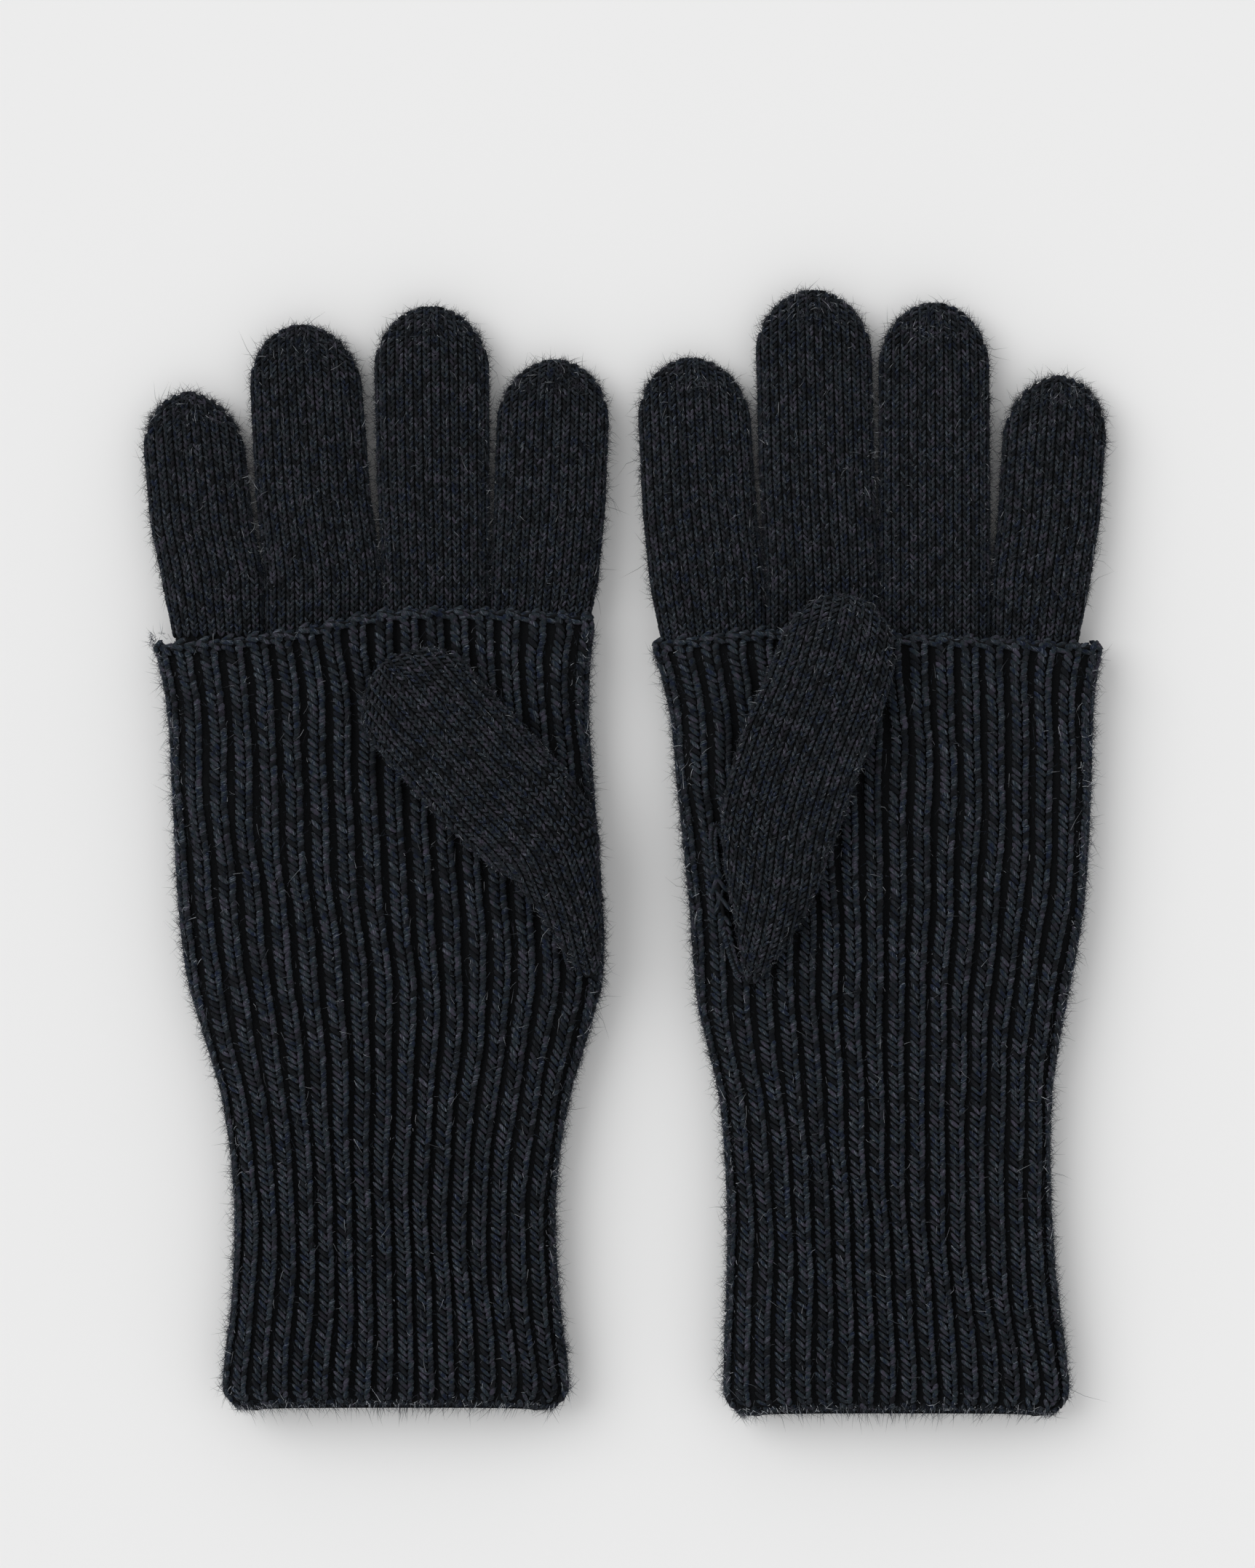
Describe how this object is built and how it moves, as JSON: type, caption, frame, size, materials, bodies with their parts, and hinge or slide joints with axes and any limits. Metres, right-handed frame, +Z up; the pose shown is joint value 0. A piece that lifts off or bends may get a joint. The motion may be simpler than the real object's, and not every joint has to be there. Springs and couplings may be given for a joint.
{
  "type": "pair of two-in-one knitted gloves",
  "caption": "Pair of dark wool-knit gloves laid flat, palms up: fine five-finger gloves under long ribbed fingerless sleeves, with the thumbs folded through slits onto the palms.",
  "frame": {"origin": "on the table under the middle of the pair's outline", "axes": "+X from the right glove to the left glove, +Y from the wrists to the fingertips, +Z up from the table towards the palms' side"},
  "size_m": [0.2365, 0.2768, 0.0256],
  "materials": {
    "plain_knit": "fine stocking-stitch wool, matt and slightly fuzzy",
    "rib_knit": "thick one-by-one wool rib, matt and slightly fuzzy"
  },
  "bodies": {
    "right_hand": {"right_glove_hand": "plain_knit", "right_glove_cuff": "plain_knit"},
    "right_little_finger": {"right_little_finger": "plain_knit"},
    "right_ring_finger": {"right_ring_finger": "plain_knit"},
    "right_middle_finger": {"right_middle_finger": "plain_knit"},
    "right_index_finger": {"right_index_finger": "plain_knit"},
    "right_thumb": {"right_thumb": "plain_knit"},
    "right_sleeve": {"right_sleeve": "rib_knit", "right_sleeve_top_edge": "rib_knit", "right_sleeve_hem": "rib_knit", "right_thumb_slit_binding": "rib_knit"},
    "left_hand": {"left_glove_hand": "plain_knit", "left_glove_cuff": "plain_knit"},
    "left_little_finger": {"left_little_finger": "plain_knit"},
    "left_ring_finger": {"left_ring_finger": "plain_knit"},
    "left_middle_finger": {"left_middle_finger": "plain_knit"},
    "left_index_finger": {"left_index_finger": "plain_knit"},
    "left_thumb": {"left_thumb": "plain_knit"},
    "left_sleeve": {"left_sleeve": "rib_knit", "left_sleeve_top_edge": "rib_knit", "left_sleeve_hem": "rib_knit", "left_thumb_slit_binding": "rib_knit"}
  },
  "joints": [
    {"name": "right_little_finger_bend", "type": "hinge", "parent": "right_hand", "child": "right_little_finger", "pos_m": [-0.1008, 0.0669, 0.0131], "axis": [1, 0, 0], "range_deg": [0, 90]},
    {"name": "right_ring_finger_bend", "type": "hinge", "parent": "right_hand", "child": "right_ring_finger", "pos_m": [-0.07375, 0.0669, 0.0131], "axis": [1, 0, 0], "range_deg": [0, 90]},
    {"name": "right_middle_finger_bend", "type": "hinge", "parent": "right_hand", "child": "right_middle_finger", "pos_m": [-0.0462, 0.0669, 0.0131], "axis": [1, 0, 0], "range_deg": [0, 90]},
    {"name": "right_index_finger_bend", "type": "hinge", "parent": "right_hand", "child": "right_index_finger", "pos_m": [-0.01975, 0.0669, 0.0131], "axis": [1, 0, 0], "range_deg": [0, 90]},
    {"name": "left_little_finger_bend", "type": "hinge", "parent": "left_hand", "child": "left_little_finger", "pos_m": [0.10185, 0.0655, 0.0131], "axis": [1, 0, 0], "range_deg": [0, 90]},
    {"name": "left_ring_finger_bend", "type": "hinge", "parent": "left_hand", "child": "left_ring_finger", "pos_m": [0.0761, 0.0655, 0.0131], "axis": [1, 0, 0], "range_deg": [0, 90]},
    {"name": "left_middle_finger_bend", "type": "hinge", "parent": "left_hand", "child": "left_middle_finger", "pos_m": [0.0486, 0.0655, 0.0131], "axis": [1, 0, 0], "range_deg": [0, 90]},
    {"name": "left_index_finger_bend", "type": "hinge", "parent": "left_hand", "child": "left_index_finger", "pos_m": [0.0205, 0.0655, 0.0131], "axis": [1, 0, 0], "range_deg": [0, 90]},
    {"name": "right_thumb_unfold", "type": "hinge", "parent": "right_hand", "child": "right_thumb", "pos_m": [-0.0201, -0.0071, 0.0169], "axis": [0, 1, 0], "range_deg": [0, 90]},
    {"name": "left_thumb_unfold", "type": "hinge", "parent": "left_hand", "child": "left_thumb", "pos_m": [0.0376, -0.0305, 0.0169], "axis": [0.1736, -0.9848, 0], "range_deg": [0, 90]},
    {"name": "right_sleeve_slide", "type": "slide", "parent": "right_hand", "child": "right_sleeve", "axis": [0, -1, 0], "range_m": [0, 0.003]},
    {"name": "left_sleeve_slide", "type": "slide", "parent": "left_hand", "child": "left_sleeve", "axis": [0, -1, 0], "range_m": [0, 0.003]},
    {"name": "pair_apart", "type": "slide", "parent": "right_hand", "child": "left_hand", "axis": [1, 0, 0], "range_m": [0, 0.12]}
  ]
}
